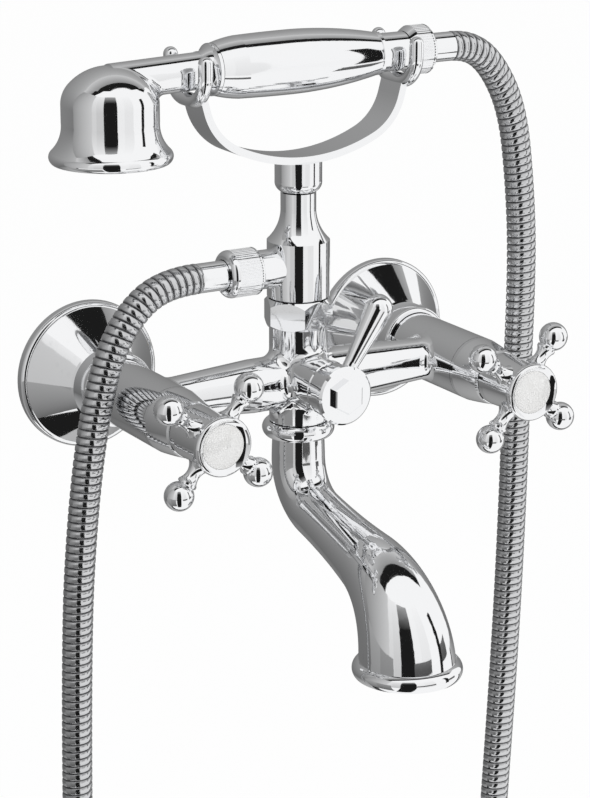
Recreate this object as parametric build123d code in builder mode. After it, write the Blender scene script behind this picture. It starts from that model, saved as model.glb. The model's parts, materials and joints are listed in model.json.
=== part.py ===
"""Wall-mounted bath and shower mixer with cross handles, a swan spout and a cradled handset.

Units are millimetres. +X is to the user's right, +Y leads into the wall and +Z is up.
The origin is on the wall face, midway between the two water inlets.
"""
import os
from math import atan2, cos, degrees, hypot, pi, radians, sin, tan

from build123d import *

os.makedirs("parts", exist_ok=True)

# Where things stand
inlet_pitch = 150.0
bar_out = 56.0
handset_height = 138.0
outlet_height = 50.6
diverter_height = 2.0

# Clearances
running_gap = 0.06
thread_gap = 0.10
seat_gap = 0.30
turning_gap = 0.40

# Wall unions, union nuts and roses
pipe_radius = 10.48
pipe_depth = 14.0
union_bore = 7.5
union_flange_radius = 14.2
union_flange_out = 4.5
union_thread_radius = 13.2
union_end_out = 17.0
washer_thickness = 2.0
washer_bore = 8.6
spigot_flange = 3.0
spigot_radius = 10.4
union_nut_radius = 14.9
union_nut_back = 6.5
union_nut_lip = 2.6
rose_radius = 32.5
rose_rim = 5.6
rose_shoulder = 2.2
rose_depth = 34.0
rose_neck_wall = 1.3
rose_lip = 0.6
rose_neck_out = 22.6
rose_wall = 1.2

# Body
tee_radius = 14.0
tee_back = 26.0
tee_front = bar_out + 26.0
tee_bore = 8.0
chamber_radius = 9.7
chamber_out = bar_out - 10.0
chamber_thread_radius = 11.4
chamber_thread_out = tee_front - 14.0
bar_radius = 11.6
bar_end_radius = 9.4
bar_taper_start = 24.0
bar_taper_end = 60.0
bar_bore = 5.5
boss_radius = 12.6
boss_top = 24.0
boss_bottom = 18.0
body_fillet = 4.5
housing_radius = 11.2
housing_front = bar_out + 23.0
diverter_bore = 8.6
diverter_bore_back = bar_out - 11.0
riser_thread_radius = 10.6
riser_thread_top = boss_top + 7.4
water_bore = 5.5
spout_socket_radius = 8.7
spout_socket_depth = 11.0

# Quarter-turn valves
seal_thickness = 2.0
seal_bore = 5.4
seat_thickness = 3.2
disc_thickness = 2.8
disc_radius = 7.7
disc_window_inner = 2.2
disc_window_outer = 6.6
cartridge_radius = 9.5
cartridge_bore = 8.1
cartridge_window = 6.0
bonnet_flange_radius = 12.4
bonnet_flange = 2.6
bonnet_neck_radius = 8.0
bonnet_front = tee_front + 16.5
spindle_radius = 4.0
spindle_drive = 3.0
spindle_front = tee_front + 30.0
spline_teeth = 20
spline_depth = 0.45
shroud_back = tee_front + 0.2
shroud_front = shroud_back + 17.4
shroud_front_radius = 11.6
shroud_wall = 1.2

# Cross handles
hub_back_radius = 11.4
hub_front_radius = 10.5
hub_front = shroud_front + 21.0
arm_plane_out = hub_front - 3.8
arm_base_radius = 4.6
arm_waist_radius = 2.95
arm_collar_radius = 4.1
arm_waist_reach = 14.8
arm_collar_reach = 19.4
arm_collar_width = 0.9
arm_shank_radius = 3.2
arm_shank_depth = 2.2
ball_reach = 25.85
ball_radius = 6.15
hot_handle_angle = 6.4
cold_handle_angle = 7.4
index_ring_radius = 12.6
index_ring_front = hub_front + 5.6
index_radius = 9.9
index_opening = 9.35
index_back = hub_front + 1.6
index_rim = 1.9
index_front = hub_front + 4.7
screw_radius = 2.0
screw_head_radius = 3.9
screw_head = 2.6
screw_length = 12.0
screw_slot = 1.2

# Diverter
sleeve_flange_radius = 11.8
sleeve_front = housing_front + 4.6
lever_ring_back = sleeve_front + 0.4
lever_ring_front = lever_ring_back + 8.0
lever_ring_radius = 11.9
lever_angle = 30.5
lever_root_radius = 3.6
lever_neck_reach = 14.0
lever_tip_reach = 39.0
lever_tip_radius = 6.6
diverter_spindle_radius = 4.5
rotor_radius = 8.2
rotor_length = 21.0
rotor_window = 5.0
cap_radius = 12.75
cap_back = lever_ring_front + 0.2
cap_front = cap_back + 3.4
cap_hex_flats = 13.0
cap_hex_front = cap_front + 2.8
ring_section = 0.95
ring_wire = 0.44

# Riser, cradle and hose outlet
riser_nut_flats = 27.0
riser_nut_bottom = boss_top + 0.3
riser_nut_top = riser_nut_bottom + 12.3
column_radius = 13.5
column_bottom = riser_nut_top + 0.3
column_shoulder = 61.7
column_neck_radius = 7.6
column_neck_bottom = column_shoulder + 12.7
collar_bottom = column_neck_bottom + 8.0
collar_top = collar_bottom + 13.6
collar_radius = 10.1
column_spigot_radius = 6.0
column_spigot_top = collar_bottom + 8.0
stub_radius = 8.35
stub_end = 21.2
stub_thread_end = stub_end + 8.2
strap_thickness = 3.2
strap_width = 16.0
strap_bottom = collar_top - 0.4
strap_bend = 80.0
strap_bend_angle = 25.0
strap_left_bend = 28.5
strap_right_bend = 25.5
strap_corner_angle = 75.0
strap_tail = 5.5
left_prong_x = -52.3
right_prong_x = 48.9
prong_spread = 30.0
prong_radius = 3.05
prong_top = 146.3
yoke_bend = 11.6
grub_radius = 2.0

# Hose and its fittings
hose_radius = 6.5
hose_bore = 4.2
hose_ribs = 196
rib_depth = 0.7
rib_slope = 0.16
rib_land = 0.62
hose_plain_end = 13.0
ferrule_radius = hose_radius - 0.2
ferrule_flange_radius = ferrule_radius + 0.7
ferrule_flange = 2.0
stub_thread_radius = ferrule_flange_radius + 0.5
outlet_nut_radius = stub_thread_radius + 2.7
outlet_nut_end = 36.6
outlet_ferrule_end = 49.2
handset_nut_radius = stub_thread_radius + 3.1
handset_nut_start = 51.6
handset_nut_end = 63.2
handset_ferrule_end = 76.0
nut_shoulder = 3.0
nut_shoulder_drop = 2.0
hose_washer = 2.0
knurl_depth = 0.35
knurl_teeth = 56

# Handset
bell_x = -88.0
bell_radius = 20.0
bell_wall = 1.8
bell_rim_radius = 25.35
bell_rim_height = 106.3
bell_bottom = 104.4
bell_dome_height = 128.0
bell_top = 143.5
bell_shoulder = 12.0
neck_radius = 7.7
neck_drop = 1.4
neck_start = -47.0
neck_bore = 4.8
neck_fillet = 4.0
flare_radius = 10.9
flare_band = 1.4
grip_start = -41.0
grip_end = 36.4
grip_start_radius = 10.9
grip_radius = 13.5
grip_swell_x = -5.0
grip_end_radius = 9.3
grip_wall_bore = 6.2
tube_radius = 6.1
tube_bore = 4.8
tail_ring_radius = 9.2
tail_ring_end = grip_end + 2.6
tail_radius = 8.3
tail_thread_radius = stub_thread_radius
tail_thread_end = handset_nut_start + 6.0
plate_radius = 21.6
plate_thickness = 2.0
plate_recess = 0.9
nozzle_radius = 0.6
nozzle_rings = ((5.0, 8), (10.0, 14), (15.0, 20))

# Spout
spout_ring_radius = 15.75
spout_ring_top = 18.3
spout_ring_bottom = 24.8
spout_ring_clearance = 0.7
spout_neck_radius = 10.7
spout_drop = 35.0
spout_first_bend = 22.0
spout_slope = 77.0
spout_run = 43.0
spout_second_bend = 39.0
spout_radii = (10.7, 11.6, 12.4, 16.6, 20.6)
spout_wall = 2.2
lip_radius = 23.1
lip_height = 6.4
lip_bottom = 105.2

hot_x = -inlet_pitch / 2
cold_x = inlet_pitch / 2


def out_of_wall(x, height=0.0):
    """A sketch plane whose first direction is a radius and whose second leads out of the wall."""
    return Plane(origin=(x, 0, height), x_dir=(1, 0, 0), z_dir=(0, 0, -1))


def upward(x=0.0):
    """A sketch plane over the bar's centre line: first direction a radius, second one up."""
    return Plane(origin=(x, -bar_out, 0), x_dir=(1, 0, 0), z_dir=(0, -1, 0))


def aimed(origin, angle):
    """A sketch plane seen from the front: its second direction is turned from +X towards +Z."""
    return Plane(origin=origin, x_dir=(-sin(radians(angle)), 0, cos(radians(angle))), z_dir=(0, 1, 0))


def rightward(height):
    """A sketch plane at a height: first direction a radius, second one to the right."""
    return aimed((0, -bar_out, height), 0)


def turned(plane, outline, mode=Mode.ADD):
    """Turn an outline of (radius, length) points about the plane's second direction."""
    with BuildSketch(plane) as profile:
        with BuildLine():
            Polyline(*outline, close=True)
        make_face()
    revolve(profile.sketch, axis=Axis(plane.origin, plane.y_dir), mode=mode)


def band(inner, outer, start, end):
    """The outline of a plain ring."""
    return [(inner, start), (outer, start), (outer, end), (inner, end)]


# Wall unions, washers, union nuts and roses, one set at each inlet
washer_out = union_end_out + washer_thickness
spigot_flange_end = washer_out + spigot_flange
nut_lip_back = spigot_flange_end + seat_gap
union_nut_front = nut_lip_back + union_nut_lip
rose_bore = max(union_nut_radius, tee_radius + rose_lip) + seat_gap
rose_neck_radius = rose_bore + rose_neck_wall
# The rose is a plain cone between its rounded rim and its neck, with one wall all the way
cone_top_radius = rose_neck_radius + 0.7
cone_top = rose_neck_out - 0.9
cone_run = rose_radius - rose_shoulder - cone_top_radius
cone_rise = cone_top - rose_rim
hollow_radius = rose_radius - rose_shoulder - rose_wall * cone_rise / hypot(cone_run, cone_rise)
hollow_rim = rose_rim - rose_wall * cone_run / hypot(cone_run, cone_rise)
hollow_top = hollow_rim + (hollow_radius - rose_bore) * cone_rise / cone_run

for side, x in (("hot", hot_x), ("cold", cold_x)):
    plane = out_of_wall(x)

    with BuildPart() as wall_union:
        turned(plane, [
            (union_bore, -pipe_depth),
            (pipe_radius - 1.0, -pipe_depth),
            (pipe_radius, 1.0 - pipe_depth),
            (pipe_radius, 0.6),
            (union_flange_radius, 0.6),
            (union_flange_radius, union_flange_out),
            (union_thread_radius, union_flange_out),
            (union_thread_radius, union_end_out - 0.8),
            (union_thread_radius - 0.8, union_end_out),
            (union_bore, union_end_out),
        ])
    wall_union.part.label = f"{side}_wall_union"
    export_step(wall_union.part, f"parts/{side}_wall_union.step")

    with BuildPart() as inlet_washer:
        turned(plane, band(washer_bore, union_thread_radius - 0.9, union_end_out, washer_out))
    inlet_washer.part.label = f"{side}_inlet_washer"
    export_step(inlet_washer.part, f"parts/{side}_inlet_washer.step")

    with BuildPart() as union_nut:
        turned(plane, [
            (union_thread_radius + thread_gap, union_nut_back),
            (union_nut_radius - 0.6, union_nut_back),
            (union_nut_radius, union_nut_back + 0.6),
            (union_nut_radius, union_nut_front - 0.6),
            (union_nut_radius - 0.6, union_nut_front),
            (spigot_radius + thread_gap, union_nut_front),
            (spigot_radius + thread_gap, nut_lip_back),
            (union_thread_radius + thread_gap, nut_lip_back),
        ])
    union_nut.part.label = f"{side}_union_nut"
    export_step(union_nut.part, f"parts/{side}_union_nut.step")

    with BuildPart() as wall_rose:
        with BuildSketch(plane):
            with BuildLine():
                foot = Line((rose_radius - rose_wall, 0), (rose_radius - 0.5, 0))
                rim_up = Line(foot @ 1, (rose_radius, 0.8))
                edge = Line(rim_up @ 1, (rose_radius, rose_rim - rose_shoulder - 0.4))
                rim = ThreePointArc(
                    edge @ 1,
                    (rose_radius - 0.3 * rose_shoulder, rose_rim - 0.33 * rose_shoulder),
                    (rose_radius - rose_shoulder, rose_rim),
                )
                face = Line(rim @ 1, (cone_top_radius, cone_top))
                collar = Line(face @ 1, (rose_neck_radius, rose_neck_out))
                neck = Line(collar @ 1, (rose_neck_radius, rose_depth - 1.6))
                bead = ThreePointArc(
                    neck @ 1, (rose_neck_radius - 0.3, rose_depth - 0.6), (rose_neck_radius - 1.2, rose_depth)
                )
                front = Line(bead @ 1, (tee_radius + seat_gap, rose_depth))
                lip = Line(front @ 1, (tee_radius + seat_gap, rose_depth - 1.6))
                ledge = Line(lip @ 1, (rose_bore, rose_depth - 1.6))
                bore = Line(ledge @ 1, (rose_bore, hollow_top))
                back = Line(bore @ 1, (hollow_radius, hollow_rim))
                hollow = Line(back @ 1, (rose_radius - rose_wall, rose_rim - rose_shoulder - 0.8))
                Line(hollow @ 1, foot @ 0)
            make_face()
        revolve(axis=Axis(plane.origin, plane.y_dir))
    wall_rose.part.label = f"{side}_wall_rose"
    export_step(wall_rose.part, f"parts/{side}_wall_rose.step")

# Cast body: two tees on a bar, a boss for the riser and spout, and the diverter's housing
with BuildPart() as mixer_body:
    turned(rightward(0), [
        (0, hot_x),
        (bar_end_radius, hot_x),
        (bar_end_radius, -bar_taper_end),
        (bar_radius, -bar_taper_start),
        (bar_radius, bar_taper_start),
        (bar_end_radius, bar_taper_end),
        (bar_end_radius, cold_x),
        (0, cold_x),
    ])
    for x in (hot_x, cold_x):
        turned(out_of_wall(x), band(0, tee_radius, tee_back, tee_front))
    turned(upward(), band(0, boss_radius, -boss_bottom, boss_top))
    turned(out_of_wall(0, diverter_height), band(0, housing_radius, bar_out, housing_front))
    fillet(mixer_body.edges().filter_by(GeomType.BSPLINE), radius=body_fillet)
    for x in (hot_x, cold_x):
        turned(out_of_wall(x), [
            (tee_bore, washer_out),
            (spigot_radius + 2.3, washer_out),
            (spigot_radius + 2.3, spigot_flange_end),
            (spigot_radius, spigot_flange_end),
            (spigot_radius, tee_back + 1.0),
            (tee_bore, tee_back + 1.0),
        ])
        turned(out_of_wall(x), band(0, tee_bore, washer_out, chamber_out), mode=Mode.SUBTRACT)
        turned(out_of_wall(x), band(0, chamber_radius, chamber_out, tee_front), mode=Mode.SUBTRACT)
        turned(
            out_of_wall(x),
            band(0, chamber_thread_radius, chamber_thread_out, tee_front),
            mode=Mode.SUBTRACT,
        )
    turned(upward(), band(0, riser_thread_radius, boss_top - 1.0, riser_thread_top))
    turned(rightward(0), band(0, bar_bore, hot_x, cold_x), mode=Mode.SUBTRACT)
    turned(upward(), band(0, water_bore, 0, riser_thread_top), mode=Mode.SUBTRACT)
    turned(upward(), band(0, water_bore, -boss_bottom, 0), mode=Mode.SUBTRACT)
    turned(
        upward(),
        band(0, spout_socket_radius, -boss_bottom, spout_socket_depth - boss_bottom),
        mode=Mode.SUBTRACT,
    )
    turned(
        out_of_wall(0, diverter_height),
        band(0, diverter_bore, diverter_bore_back, housing_front),
        mode=Mode.SUBTRACT,
    )
mixer_body.part.label = "mixer_body"
export_step(mixer_body.part, "parts/mixer_body.step")

# Quarter-turn ceramic valves in both tees
seal_front = chamber_out + seal_thickness
seat_front = seal_front + seat_thickness
disc_front = seat_front + disc_thickness
drive_front = disc_front + spindle_drive
cartridge_cap = drive_front + seat_gap
bonnet_back = cartridge_cap + 4.0
flange_front = tee_front + bonnet_flange
spline_back = shroud_front + turning_gap
spline_root = spindle_radius - spline_depth


def windows(inner, outer, opening):
    """Two facing ring sectors, as the waterways through a ceramic disc, in a sketch."""
    edge_x = 2 * outer * sin(radians(opening))
    edge_y = 2 * outer * cos(radians(opening))
    with BuildSketch() as pair:
        Circle(outer)
        Circle(inner, mode=Mode.SUBTRACT)
        for way in (1, -1):
            with BuildLine(mode=Mode.PRIVATE) as wedge:
                Polyline((0, 0), (way * edge_x, way * edge_y), (-way * edge_x, way * edge_y), close=True)
            make_face(wedge.edges(), mode=Mode.SUBTRACT)
    return pair.sketch


for side, x in (("hot", hot_x), ("cold", cold_x)):
    plane = out_of_wall(x)

    with BuildPart() as valve_seal:
        turned(plane, band(seal_bore, cartridge_radius - seat_gap, chamber_out, seal_front))
    valve_seal.part.label = f"{side}_valve_seal"
    export_step(valve_seal.part, f"parts/{side}_valve_seal.step")

    with BuildPart() as ceramic_seat:
        with BuildSketch(Plane(origin=(x, -seal_front, 0), x_dir=(1, 0, 0), z_dir=(0, -1, 0))):
            Circle(disc_radius + 0.2)
            add(windows(disc_window_inner, disc_window_outer, 48), mode=Mode.SUBTRACT)
        extrude(amount=seat_thickness)
    ceramic_seat.part.label = f"{side}_ceramic_seat"
    export_step(ceramic_seat.part, f"parts/{side}_ceramic_seat.step")

    with BuildPart() as ceramic_disc:
        with BuildSketch(Plane(origin=(x, -seat_front, 0), x_dir=(0, 0, 1), z_dir=(0, -1, 0))):
            Circle(disc_radius)
            add(windows(disc_window_inner, disc_window_outer, 48), mode=Mode.SUBTRACT)
        extrude(amount=disc_thickness)
        with BuildSketch(Plane(origin=(x, -disc_front, 0), x_dir=(1, 0, 0), z_dir=(0, -1, 0))):
            Rectangle(2.4, 2 * disc_radius + 1)
        extrude(amount=-1.2, mode=Mode.SUBTRACT)
    ceramic_disc.part.label = f"{side}_ceramic_disc"
    export_step(ceramic_disc.part, f"parts/{side}_ceramic_disc.step")

    with BuildPart() as valve_bonnet:
        turned(plane, [
            (cartridge_bore, seal_front),
            (cartridge_radius, seal_front),
            (cartridge_radius, chamber_thread_out + seat_gap),
            (chamber_thread_radius - thread_gap, chamber_thread_out + seat_gap + 1.2),
            (chamber_thread_radius - thread_gap, tee_front + 0.05),
            (bonnet_flange_radius, tee_front + 0.05),
            (bonnet_flange_radius, flange_front),
            (bonnet_neck_radius, flange_front),
            (bonnet_neck_radius, bonnet_front),
            (spindle_radius + running_gap, bonnet_front),
            (spindle_radius + running_gap, bonnet_back),
            (cartridge_bore, bonnet_back),
        ])
        with BuildSketch(Plane(origin=(x, -bar_out, 0), x_dir=(0, 1, 0), z_dir=(1, 0, 0))):
            RectangleRounded(cartridge_window, cartridge_window, 1.5)
        extrude(amount=2 * cartridge_radius, both=True, mode=Mode.SUBTRACT)
    valve_bonnet.part.label = f"{side}_valve_bonnet"
    export_step(valve_bonnet.part, f"parts/{side}_valve_bonnet.step")

    with BuildPart() as valve_spindle:
        turned(plane, [
            (0, disc_front),
            (disc_radius - 0.2, disc_front),
            (disc_radius - 0.2, drive_front),
            (spindle_radius, drive_front),
            (spindle_radius, spline_back),
            (spline_root, spline_back),
            (spline_root, spindle_front),
            (0, spindle_front),
        ])
        with BuildSketch(Plane(origin=(x, -disc_front, 0), x_dir=(1, 0, 0), z_dir=(0, -1, 0))):
            Rectangle(2.2, 2 * disc_radius - 1.6)
        extrude(amount=-1.1)
        with BuildSketch(Plane(origin=(x, -spline_back, 0), x_dir=(1, 0, 0), z_dir=(0, -1, 0))):
            with PolarLocations(spline_root, spline_teeth):
                Rectangle(2 * spline_depth, 0.5)
        extrude(amount=spindle_front - spline_back)
        with BuildSketch(Plane(origin=(x, -spindle_front, 0), x_dir=(1, 0, 0), z_dir=(0, -1, 0))):
            Circle(screw_radius + thread_gap)
        extrude(amount=-screw_length, mode=Mode.SUBTRACT)
    valve_spindle.part.label = f"{side}_valve_spindle"
    export_step(valve_spindle.part, f"parts/{side}_valve_spindle.step")

    with BuildPart() as valve_shroud:
        with BuildSketch(plane):
            with BuildLine():
                back = Line((tee_radius - shroud_wall, shroud_back), (tee_radius, shroud_back))
                flank = Line(back @ 1, (tee_radius, shroud_back + 2.0))
                shoulder = ThreePointArc(
                    flank @ 1,
                    (tee_radius - 0.8, shroud_back + 8.6),
                    (shroud_front_radius + 0.4, shroud_front - 1.0),
                )
                edge = Line(shoulder @ 1, (shroud_front_radius, shroud_front))
                front = Line(edge @ 1, (bonnet_neck_radius + seat_gap, shroud_front))
                collar = Line(front @ 1, (bonnet_neck_radius + seat_gap, shroud_front - 2.4))
                inside = Line(collar @ 1, (shroud_front_radius - 0.9, shroud_front - 2.4))
                hollow = ThreePointArc(
                    inside @ 1,
                    (tee_radius - 0.9 - shroud_wall, shroud_back + 8.0),
                    (tee_radius - shroud_wall, shroud_back + 1.8),
                )
                Line(hollow @ 1, back @ 0)
            make_face()
        revolve(axis=Axis(plane.origin, plane.y_dir))
    valve_shroud.part.label = f"{side}_valve_shroud"
    export_step(valve_shroud.part, f"parts/{side}_valve_shroud.step")

# Cross handles: a hub on each spindle, four screwed-in arms, and an index disc in its ring
screw_seat_out = spindle_front + 1.2
socket_reach = hub_front_radius - arm_shank_depth

for side, x, first_arm in (("hot", hot_x, hot_handle_angle + 45), ("cold", cold_x, cold_handle_angle + 45)):
    plane = out_of_wall(x)
    arm_angles = [first_arm + 90 * turn for turn in range(4)]

    with BuildPart() as handle_hub:
        turned(plane, [
            (spindle_radius + thread_gap, spline_back),
            (hub_back_radius - 0.5, spline_back),
            (hub_back_radius, spline_back + 0.5),
            (hub_back_radius, spline_back + 3.6),
            (hub_front_radius, hub_front),
            (index_opening + 0.2, hub_front),
            (index_opening + 0.2, index_back),
            (screw_head_radius + 0.4, index_back),
            (screw_head_radius + 0.4, screw_seat_out),
            (screw_radius + 0.3, screw_seat_out),
            (screw_radius + 0.3, spindle_front + 0.2),
            (spindle_radius + thread_gap, spindle_front + 0.2),
        ])
        for angle in arm_angles:
            turned(
                aimed((x, -arm_plane_out, 0), angle),
                band(0, arm_shank_radius + running_gap, socket_reach, socket_reach + 2 * arm_shank_depth + 1),
                mode=Mode.SUBTRACT,
            )
    handle_hub.part.label = f"{side}_handle_hub"
    export_step(handle_hub.part, f"parts/{side}_handle_hub.step")

    with BuildPart() as handle_arms:
        for angle in arm_angles:
            ball_foot = ball_reach - (ball_radius**2 - (arm_collar_radius - 0.7) ** 2) ** 0.5
            arm_plane = aimed((x, -arm_plane_out, 0), angle)
            with BuildSketch(arm_plane) as arm:
                with BuildLine():
                    shank = Line((0, socket_reach + 0.2), (arm_shank_radius, socket_reach + 0.2))
                    root = Line(shank @ 1, (arm_shank_radius, hub_back_radius - 0.6))
                    step = Line(root @ 1, (arm_base_radius, hub_back_radius + 0.1))
                    waist = ThreePointArc(
                        step @ 1, (arm_waist_radius, arm_waist_reach), (arm_collar_radius, arm_collar_reach)
                    )
                    edge = Line(waist @ 1, (arm_collar_radius, arm_collar_reach + arm_collar_width))
                    seat = Line(edge @ 1, (arm_collar_radius - 0.7, ball_foot))
                    ball = ThreePointArc(
                        seat @ 1, (ball_radius, ball_reach), (0, ball_reach + ball_radius)
                    )
                    Line(ball @ 1, shank @ 0)
                make_face()
            revolve(arm.sketch, axis=Axis(arm_plane.origin, arm_plane.y_dir))
    handle_arms.part.label = f"{side}_handle_arms"
    export_step(handle_arms.part, f"parts/{side}_handle_arms.step")

    with BuildPart() as handle_screw:
        turned(plane, [
            (0, spindle_front - screw_length + 1.5),
            (screw_radius, spindle_front - screw_length + 1.5),
            (screw_radius, screw_seat_out),
            (screw_head_radius, screw_seat_out),
            (screw_head_radius, screw_seat_out + screw_head),
            (0, screw_seat_out + screw_head),
        ])
        with BuildSketch(
            Plane(origin=(x, -screw_seat_out - screw_head, 0), x_dir=(1, 0, 0), z_dir=(0, -1, 0))
        ):
            Rectangle(screw_slot, 2 * screw_head_radius + 1)
        extrude(amount=-1.3, mode=Mode.SUBTRACT)
    handle_screw.part.label = f"{side}_handle_screw"
    export_step(handle_screw.part, f"parts/{side}_handle_screw.step")

    with BuildPart() as index_ring:
        with BuildSketch(plane):
            with BuildLine():
                bore = Line((index_opening + 0.3, hub_front + 0.05), (index_opening + 0.3, index_back))
                ledge = Line(bore @ 1, (index_radius + 0.1, index_back))
                cup = Line(ledge @ 1, (index_radius + 0.1, index_back + index_rim + 0.1))
                lip = Line(cup @ 1, (index_opening, index_back + index_rim + 0.1))
                slope = Line(lip @ 1, (index_opening, index_back + index_rim + 0.5))
                cove = ThreePointArc(
                    slope @ 1,
                    (index_opening + 1.0, index_ring_front - 0.9),
                    (index_ring_radius - 1.3, index_ring_front),
                )
                crown = ThreePointArc(
                    cove @ 1,
                    (index_ring_radius - 0.3, index_ring_front - 0.9),
                    (index_ring_radius, index_ring_front - 2.2),
                )
                flank = Line(crown @ 1, (index_ring_radius, hub_front + 2.3))
                back = Line(flank @ 1, (index_ring_radius - 2.2, hub_front + 0.05))
                Line(back @ 1, bore @ 0)
            make_face()
        revolve(axis=Axis(plane.origin, plane.y_dir))
    index_ring.part.label = f"{side}_index_ring"
    export_step(index_ring.part, f"parts/{side}_index_ring.step")

    with BuildPart() as index_disc:
        with BuildSketch(plane):
            with BuildLine():
                rim = Polyline(
                    (0, index_back),
                    (index_radius, index_back),
                    (index_radius, index_back + index_rim),
                    (index_opening - 0.1, index_back + index_rim),
                    (index_opening - 0.1, index_back + index_rim + 0.5),
                )
                TangentArc((0, index_front), rim @ 1, tangent=(1, 0))
                Line((0, index_front), rim @ 0)
            make_face()
        revolve(axis=Axis(plane.origin, plane.y_dir))
    index_disc.part.label = f"{side}_index_disc"
    export_step(index_disc.part, f"parts/{side}_index_disc.step")

# Diverter: a sleeve screwed into the housing, and a lever that turns its rotor
diverter_plane = out_of_wall(0, diverter_height)
rotor_back = diverter_bore_back + 0.6
rotor_front = rotor_back + rotor_length
sleeve_back = rotor_front + seat_gap
ring_seat_out = sleeve_back + 6.0
lever_square = 5.6

with BuildPart() as diverter_spindle:
    turned(diverter_plane, [
        (0, rotor_back),
        (rotor_radius, rotor_back),
        (rotor_radius, rotor_front),
        (diverter_spindle_radius, rotor_front),
        (diverter_spindle_radius, ring_seat_out),
        (diverter_spindle_radius - ring_section, ring_seat_out),
        (diverter_spindle_radius - ring_section, ring_seat_out + 2.2),
        (diverter_spindle_radius, ring_seat_out + 2.2),
        (diverter_spindle_radius, lever_ring_back),
        (0, lever_ring_back),
    ])
    with BuildSketch(
        Plane(origin=(0, -lever_ring_back, diverter_height), x_dir=(1, 0, 0), z_dir=(0, -1, 0))
    ):
        Rectangle(lever_square, lever_square, rotation=-lever_angle)
    extrude(amount=cap_back - lever_ring_back)
    with BuildSketch(Plane(origin=(0, -bar_out, diverter_height), x_dir=(1, 0, 0), z_dir=(0, 0, 1))):
        Circle(rotor_window)
    extrude(amount=rotor_radius + 1, both=True, mode=Mode.SUBTRACT)
    with BuildSketch(Plane(origin=(0, -cap_back, diverter_height), x_dir=(1, 0, 0), z_dir=(0, -1, 0))):
        Circle(screw_radius + thread_gap)
    extrude(amount=-9, mode=Mode.SUBTRACT)
diverter_spindle.part.label = "diverter_spindle"
export_step(diverter_spindle.part, "parts/diverter_spindle.step")

with BuildPart() as diverter_o_ring:
    ring_plane = out_of_wall(0, diverter_height)
    with BuildSketch(ring_plane):
        with Locations((diverter_spindle_radius - 0.5, ring_seat_out + 1.1)):
            Circle(ring_wire)
    revolve(axis=Axis(ring_plane.origin, ring_plane.y_dir))
diverter_o_ring.part.label = "diverter_o_ring"
export_step(diverter_o_ring.part, "parts/diverter_o_ring.step")

with BuildPart() as diverter_sleeve:
    turned(diverter_plane, [
        (diverter_spindle_radius + running_gap, sleeve_back),
        (diverter_bore - thread_gap, sleeve_back),
        (diverter_bore - thread_gap, housing_front + 0.05),
        (sleeve_flange_radius, housing_front + 0.05),
        (sleeve_flange_radius, sleeve_front - 0.5),
        (sleeve_flange_radius - 0.5, sleeve_front),
        (diverter_spindle_radius + running_gap, sleeve_front),
    ])
diverter_sleeve.part.label = "diverter_sleeve"
export_step(diverter_sleeve.part, "parts/diverter_sleeve.step")

lever_out = (lever_ring_back + lever_ring_front) / 2
lever_plane = aimed((0, -lever_out, diverter_height), 90 - lever_angle)
with BuildPart() as diverter_lever:
    turned(diverter_plane, [
        (0, lever_ring_back),
        (lever_ring_radius - 0.4, lever_ring_back),
        (lever_ring_radius, lever_ring_back + 0.4),
        (lever_ring_radius, lever_ring_front - 0.4),
        (lever_ring_radius - 0.4, lever_ring_front),
        (0, lever_ring_front),
    ])
    with BuildSketch(lever_plane) as club:
        with BuildLine():
            foot = Line((0, 6.0), (lever_root_radius, 6.0))
            root = Line(foot @ 1, (lever_root_radius, lever_neck_reach))
            flank = Line(root @ 1, (lever_tip_radius, lever_tip_reach))
            tip = ThreePointArc(
                flank @ 1,
                (lever_tip_radius * cos(radians(45)), lever_tip_reach + lever_tip_radius * sin(radians(45))),
                (0, lever_tip_reach + lever_tip_radius),
            )
            Line(tip @ 1, foot @ 0)
        make_face()
    revolve(club.sketch, axis=Axis(lever_plane.origin, lever_plane.y_dir))
    with BuildSketch(
        Plane(origin=(0, -lever_ring_back, diverter_height), x_dir=(1, 0, 0), z_dir=(0, -1, 0))
    ):
        Rectangle(lever_square + 0.2, lever_square + 0.2, rotation=-lever_angle)
    extrude(amount=lever_ring_front - lever_ring_back, mode=Mode.SUBTRACT)
diverter_lever.part.label = "diverter_lever"
export_step(diverter_lever.part, "parts/diverter_lever.step")

with BuildPart() as diverter_cap:
    turned(diverter_plane, [
        (0, cap_back),
        (cap_radius - 0.4, cap_back),
        (cap_radius, cap_back + 0.4),
        (cap_radius, cap_front - 0.9),
        (cap_radius - 0.9, cap_front),
        (0, cap_front),
    ])
    with BuildSketch(Plane(origin=(0, -cap_front, diverter_height), x_dir=(1, 0, 0), z_dir=(0, -1, 0))):
        RegularPolygon(cap_hex_flats / 2, 6, major_radius=False, rotation=60 - lever_angle)
    extrude(amount=cap_hex_front - cap_front)
    chamfer(diverter_cap.faces().sort_by(Axis.Y)[0].edges(), length=0.5)
    with BuildSketch(Plane(origin=(0, -cap_back, diverter_height), x_dir=(1, 0, 0), z_dir=(0, -1, 0))):
        Circle(screw_radius)
    extrude(amount=-8)
diverter_cap.part.label = "diverter_cap"
export_step(diverter_cap.part, "parts/diverter_cap.step")

# Riser: a column held on the body by a hexagonal nut, with the hose outlet on its left side
riser_washer_top = riser_thread_top + 1.4
column_flange_top = riser_washer_top + 1.8
column_tail_radius = riser_thread_radius - 2.0

with BuildPart() as riser_washer:
    turned(
        upward(),
        band(water_bore + seat_gap, riser_thread_radius - 0.4, riser_thread_top, riser_washer_top),
    )
riser_washer.part.label = "riser_washer"
export_step(riser_washer.part, "parts/riser_washer.step")

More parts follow.
